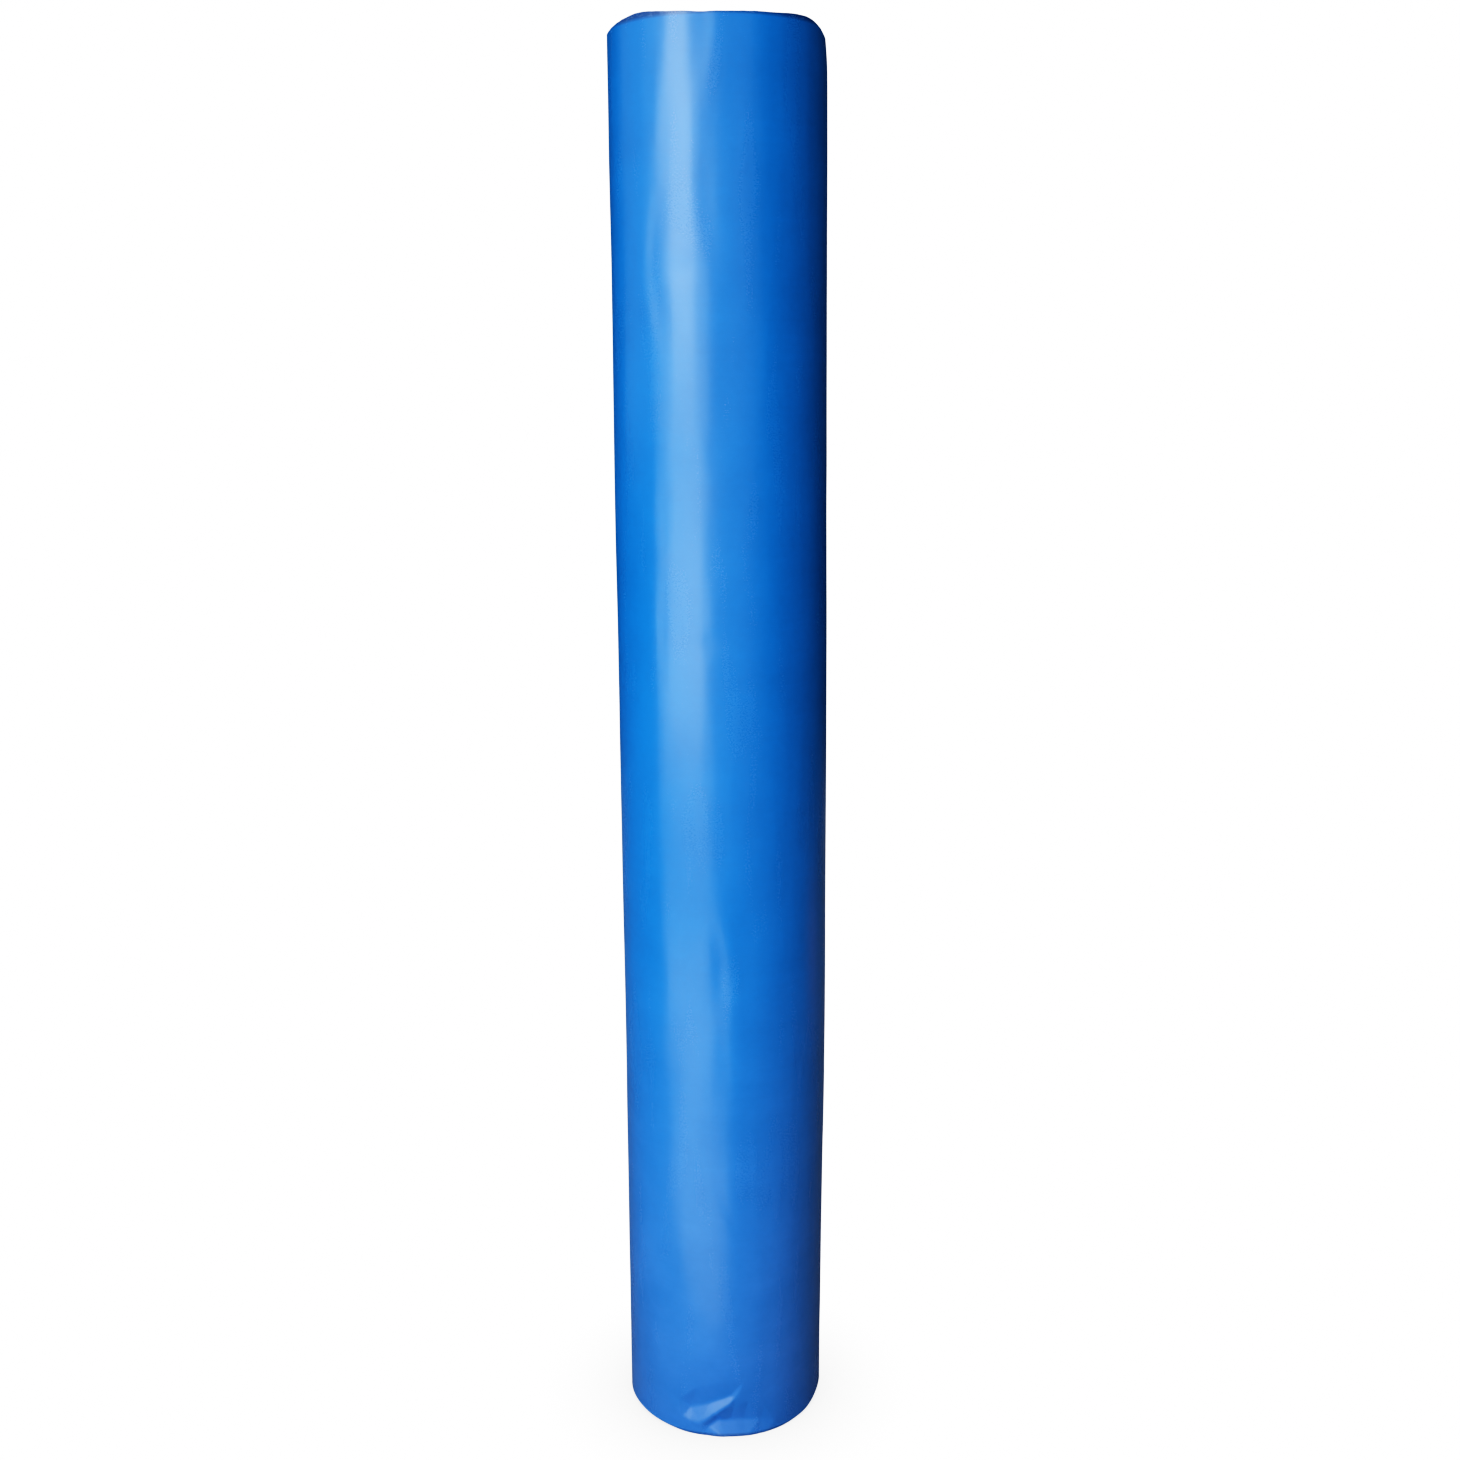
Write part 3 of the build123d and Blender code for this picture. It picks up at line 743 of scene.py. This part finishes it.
def masking_tape(name, on_web):
    """Creped cream paper tape. Across the free edge it reads the web's UV; on the core it reads its own place."""
    t = Nodes(name)
    if on_web:
        mm = t.scale(t.add("ShaderNodeUVMap", uv_map="web").outputs[0], (1000, 1000, 1000))
    else:
        mm = t.scale(t.add("ShaderNodeTexCoord").outputs["Object"], (1000, 1000, 1000))
    crepe = t.noise(t.scale(mm, (2.6, 0.35, 1) if on_web else (2.4, 2.4, 0.35), (3, 3, 3)), 1.0, 4.0, 0.6, "3D", 0.8)
    fine = t.noise(t.scale(mm, (6, 2.5, 3)), 1.0, 3.0, 0.6)
    cloud = t.noise(t.scale(mm, (0.09, 0.11, 0.11)), 1.0, 3.0, 0.55)
    col = t.mix(t.ramp(cloud, (0.3, 0.0), (0.7, 1.0)), (0.74, 0.60, 0.36), (0.66, 0.51, 0.28))
    col = t.mix(t.ramp(crepe, (0.35, 0.55), (0.60, 0.0)), col, (0.52, 0.38, 0.19))
    col = t.mix(t.ramp(fine, (0.60, 0.0), (0.80, 0.35)), col, (0.86, 0.76, 0.55))
    p = t.add("ShaderNodeBsdfPrincipled")
    t.put(p.inputs["Base Color"], col)
    t.put(p.inputs["Roughness"], t.math("ADD", 0.50, t.math("MULTIPLY", crepe, 0.22)))
    t.put(p.inputs["Normal"], t.bump(fine, 0.25, 0.00004, t.bump(crepe, 0.55, 0.00012)))
    p.inputs["Specular IOR Level"].default_value = 0.35
    return t.out(p.outputs[0])


PAPER_MAT, ENDS_MAT = blue_paper(), paper_ends()
TAPE_MAT, CORE_TAPE_MAT = masking_tape("masking_tape", True), masking_tape("masking_tape_on_core", False)
LINER_MAT = board("core_liner_kraft", (0.36, 0.245, 0.145), (0.29, 0.190, 0.108), 3.0, 0.05)
PLY_MATS = [
    board("core_board_grey", (0.30, 0.235, 0.165), (0.22, 0.170, 0.118), 11.0),
    board("core_board_brown", (0.34, 0.240, 0.150), (0.26, 0.180, 0.108), 17.0),
]
FACING_MAT = board("core_facing_kraft", (0.40, 0.280, 0.170), (0.33, 0.225, 0.130), 23.0, 0.04)


def dress(o, mat):
    if len(o.data.materials):
        o.data.materials[0] = mat
    else:
        o.data.materials.append(mat)
    return o


# ---------------------------------------------------------------- the pieces
web_mesh = wound()
dress(web_mesh, PAPER_MAT)
web_mesh.data.materials[1] = ENDS_MAT
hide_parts("wound_paper")

front = web_sheet("outer_sheet", LOW, HINGES[0] - WINDOW, 1.0, 0.0, "roll")
dress(front, PAPER_MAT)
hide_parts("outer_wrap")


STRIPS = [f"leader_strip_{k}" for k in range(1, 8)] + ["leader_free_edge"]
for k in range(1, 9):
    a, b = HINGES[k - 1] - WINDOW, HINGES[k - 1] + WINDOW
    piece = web_sheet(f"leader_sheet_{k}", a, EDGE if k == 8 else b, 0.5, 0.0)
    dress(piece, PAPER_MAT)
    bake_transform(piece)
    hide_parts(STRIPS[k - 1])
for node, mid in TAPE_Z.items():
    tab = tape(f"creped_{node}", mid)
    dress(tab, TAPE_MAT)
    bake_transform(tab)
    TAPE_NODE = {"tape_bottom": "tape_tab_bottom", "tape_middle": "tape_tab_middle", "tape_top": "tape_tab_top"}[node]
    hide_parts(TAPE_NODE)

inner = liner()
dress(inner, LINER_MAT)
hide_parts("core_liner")
for k in range(1, PLIES):
    r0 = BORE_R + k * PLY
    facing = k == PLIES - 1
    ply = tube("core_facing_board" if facing else f"core_board_{k}", r0, r0 + PLY, 60 + 7 * k)
    dress(ply, FACING_MAT if facing else PLY_MATS[k % 2])
    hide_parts("core_facing_ply" if facing else f"core_body_ply_{k}")
for name in ("bottom", "middle", "top"):
    dress(NODES[f"start_tape_{name}"], CORE_TAPE_MAT)


# ---------------------------------------------------------------- floor, light and camera
def emission_for_camera(t, seen, other):
    """seen for rays straight from the camera, other for all light that reaches the object."""
    path = t.nodes.new("ShaderNodeLightPath")
    mix = t.nodes.new("ShaderNodeMixShader")
    t.links.new(path.outputs["Is Camera Ray"], mix.inputs[0])
    t.links.new(other, mix.inputs[1])
    t.links.new(seen, mix.inputs[2])
    return mix.outputs[0]


def floor():
    m = bpy.data.meshes.new("floor")
    m.from_pydata([(-6, -6, 0), (6, -6, 0), (6, 6, 0), (-6, 6, 0)], [], [(0, 1, 2, 3)])
    o = bpy.data.objects.new("floor", m)
    bpy.context.scene.collection.objects.link(o)
    mat = bpy.data.materials.new("floor")
    mat.use_nodes = True
    t = mat.node_tree
    t.nodes.clear()
    dif = t.nodes.new("ShaderNodeBsdfDiffuse")
    dif.inputs[0].default_value = (0.20, 0.20, 0.20, 1)
    # white to the camera, with a faint contact shade where something stands on it
    shade = t.nodes.new("ShaderNodeAmbientOcclusion")
    shade.inputs["Distance"].default_value = 0.05
    shade.samples = 8
    level = t.nodes.new("ShaderNodeMapRange")
    t.links.new(shade.outputs["AO"], level.inputs["Value"])
    level.inputs["From Min"].default_value = 0.35
    level.inputs["From Max"].default_value = 0.97
    level.inputs["To Min"].default_value = 0.70
    level.inputs["To Max"].default_value = 1.0
    glow = t.nodes.new("ShaderNodeEmission")
    glow.inputs[0].default_value = (1, 1, 1, 1)
    t.links.new(level.outputs[0], glow.inputs[1])
    clear = t.nodes.new("ShaderNodeBsdfTransparent")
    back = t.nodes.new("ShaderNodeNewGeometry")
    side_mix = t.nodes.new("ShaderNodeMixShader")
    t.links.new(back.outputs["Backfacing"], side_mix.inputs[0])
    t.links.new(emission_for_camera(t, glow.outputs[0], dif.outputs[0]), side_mix.inputs[1])
    t.links.new(clear.outputs[0], side_mix.inputs[2])
    # light from under the floor reaches the lower end, which would be black from below without it
    path = t.nodes.new("ShaderNodeLightPath")
    under = t.nodes.new("ShaderNodeMixShader")
    t.links.new(path.outputs["Is Shadow Ray"], under.inputs[0])
    t.links.new(side_mix.outputs[0], under.inputs[1])
    t.links.new(clear.outputs[0], under.inputs[2])
    out = t.nodes.new("ShaderNodeOutputMaterial")
    t.links.new(under.outputs[0], out.inputs[0])
    m.materials.append(mat)
    return o


def world(level):
    w = bpy.data.worlds.new("studio")
    bpy.context.scene.world = w
    w.use_nodes = True
    t = w.node_tree
    t.nodes.clear()
    seen, other = t.nodes.new("ShaderNodeBackground"), t.nodes.new("ShaderNodeBackground")
    seen.inputs[0].default_value = (1, 1, 1, 1)
    other.inputs[0].default_value = (1, 1, 1, 1)
    other.inputs[1].default_value = level
    out = t.nodes.new("ShaderNodeOutputWorld")
    t.links.new(emission_for_camera(t, seen.outputs[0], other.outputs[0]), out.inputs[0])


def soft_box(name, azimuth, distance, low, high, width, radiance, glossy=True, spread=180, color=(1, 1, 1)):
    """An upright soft box that faces the roll. Azimuth is in degrees from -Y towards +X; heights in metres; radiance in W/sr/m2."""
    a = math.radians(azimuth)
    light = bpy.data.lights.new(name, "AREA")
    light.shape, light.size, light.size_y = "RECTANGLE", width, high - low
    light.energy = radiance * math.pi * width * (high - low)
    light.spread = math.radians(spread)
    light.color = color
    o = bpy.data.objects.new(name, light)
    bpy.context.scene.collection.objects.link(o)
    at = Vector((math.sin(a) * distance, -math.cos(a) * distance, (low + high) / 2))
    o.matrix_world = Matrix.Translation(at) @ (Vector((0, 0, at.z)) - at).to_track_quat("-Z", "Y").to_matrix().to_4x4()
    o.visible_camera = False
    o.visible_glossy = glossy
    return o


def top_box(name, at, to, width, height, radiance):
    """A soft box anywhere, aimed at a point."""
    light = bpy.data.lights.new(name, "AREA")
    light.shape, light.size, light.size_y = "RECTANGLE", width, height
    light.energy = radiance * math.pi * width * height
    o = bpy.data.objects.new(name, light)
    bpy.context.scene.collection.objects.link(o)
    at, to = Vector(at), Vector(to)
    o.matrix_world = Matrix.Translation(at) @ (to - at).to_track_quat("-Z", "Y").to_matrix().to_4x4()
    o.visible_camera = False
    return o


floor()
world(0.015)
LIGHTS = [
    soft_box("key_top", -38, 0.52, 0.42, 0.80, 0.50, 0.62, color=(0.95, 1.0, 1.0)),
    soft_box("key_middle", -40, 0.52, 0.24, 0.42, 0.48, 1.28, color=(0.95, 1.0, 1.0)),
    soft_box("key_low", -40, 0.52, 0.08, 0.24, 0.50, 0.32, color=(0.95, 1.0, 1.0)),
    soft_box("key_foot", -36, 0.52, 0.0, 0.08, 0.60, 0.90),
    soft_box("window", -42, 2.5, 0.50, 3.6, 1.3, 1.47, color=(0.95, 1.0, 1.0)),
    soft_box("window_right", -15, 2.5, 0.50, 3.6, 1.0, 0.08),
    soft_box("window_left", -72, 2.5, 0.50, 3.6, 1.0, 0.30),
    soft_box("card_left", -99, 1.0, 0.45, 1.10, 0.6, 0.20),
    soft_box("fill_left", -20, 1.4, 0.10, 1.10, 0.60, 1.10, glossy=False),
    soft_box("fill", 10, 1.8, 0.10, 1.30, 1.8, 1.27, glossy=False),
    soft_box("warm_card", 112, 0.60, 0.0, 0.10, 0.25, 0.08, color=(1.0, 0.30, 0.28)),
    top_box("floor_card", (-0.165, -0.295, 0.004), (-0.165, -0.295, 1.0), 0.32, 0.30, 0.44),
    soft_box("back_left", -162, 1.5, 0.15, 1.35, 0.8, 1.25, glossy=False),
    soft_box("back_right", 162, 1.5, 0.15, 1.35, 0.8, 1.1, glossy=False),
    top_box("under", (0, 0, -0.5), (0, 0, 0), 0.085, 0.085, 34.0),
    top_box("overhead", (0, 0.40, 1.7), (0, 0, 0.66), 0.6, 0.6, 2.6),
    top_box("behind", (0, 1.35, 1.85), (0, 0, 0.35), 0.6, 0.8, 1.5),
]


def camera():
    pitch, roll, yaw = math.radians(11.135), math.radians(-0.333), math.radians(0.253)
    hx = Vector((math.sin(yaw), math.cos(yaw), 0))
    fwd = math.cos(pitch) * hx - math.sin(pitch) * Vector((0, 0, 1))
    right0, up0 = Vector((math.cos(yaw), -math.sin(yaw), 0)), math.sin(pitch) * hx + math.cos(pitch) * Vector((0, 0, 1))
    right = math.cos(roll) * right0 + math.sin(roll) * up0
    up = math.cos(roll) * up0 - math.sin(roll) * right0
    cam = bpy.data.cameras.new("camera")
    cam.sensor_width, cam.lens = 36, 42.245
    cam.clip_start, cam.clip_end = 0.01, 50
    o = bpy.data.objects.new("camera", cam)
    bpy.context.scene.collection.objects.link(o)
    m = Matrix((right, up, -fwd)).transposed().to_4x4()
    m.translation = Vector((0, -0.8077, 0.5032))
    o.matrix_world = m
    bpy.context.scene.camera = o


camera()
scene = bpy.context.scene
scene.view_settings.view_transform = "Standard"
scene.view_settings.look = "None"
scene.view_settings.exposure = 0
scene.view_settings.gamma = 1
# a camera's tone curve: deep shadows, and a shoulder that holds the highlights; 0 and 1 stay where they are
scene.view_settings.use_curve_mapping = True
curves = scene.view_settings.curve_mapping
curves.extend = "HORIZONTAL"
curve = curves.curves[3]
while len(curve.points) < 16:
    curve.points.new(0.5, 0.5)
for q, x in zip(curve.points, (0, 0.01, 0.025, 0.045, 0.07, 0.10, 0.14, 0.185, 0.24, 0.31, 0.39, 0.48, 0.60, 0.72, 0.86, 1.0)):
    q.location = (x, 1.22 * x**1.7 / (x**1.7 + 0.22))
    q.handle_type = "AUTO"
curves.update()
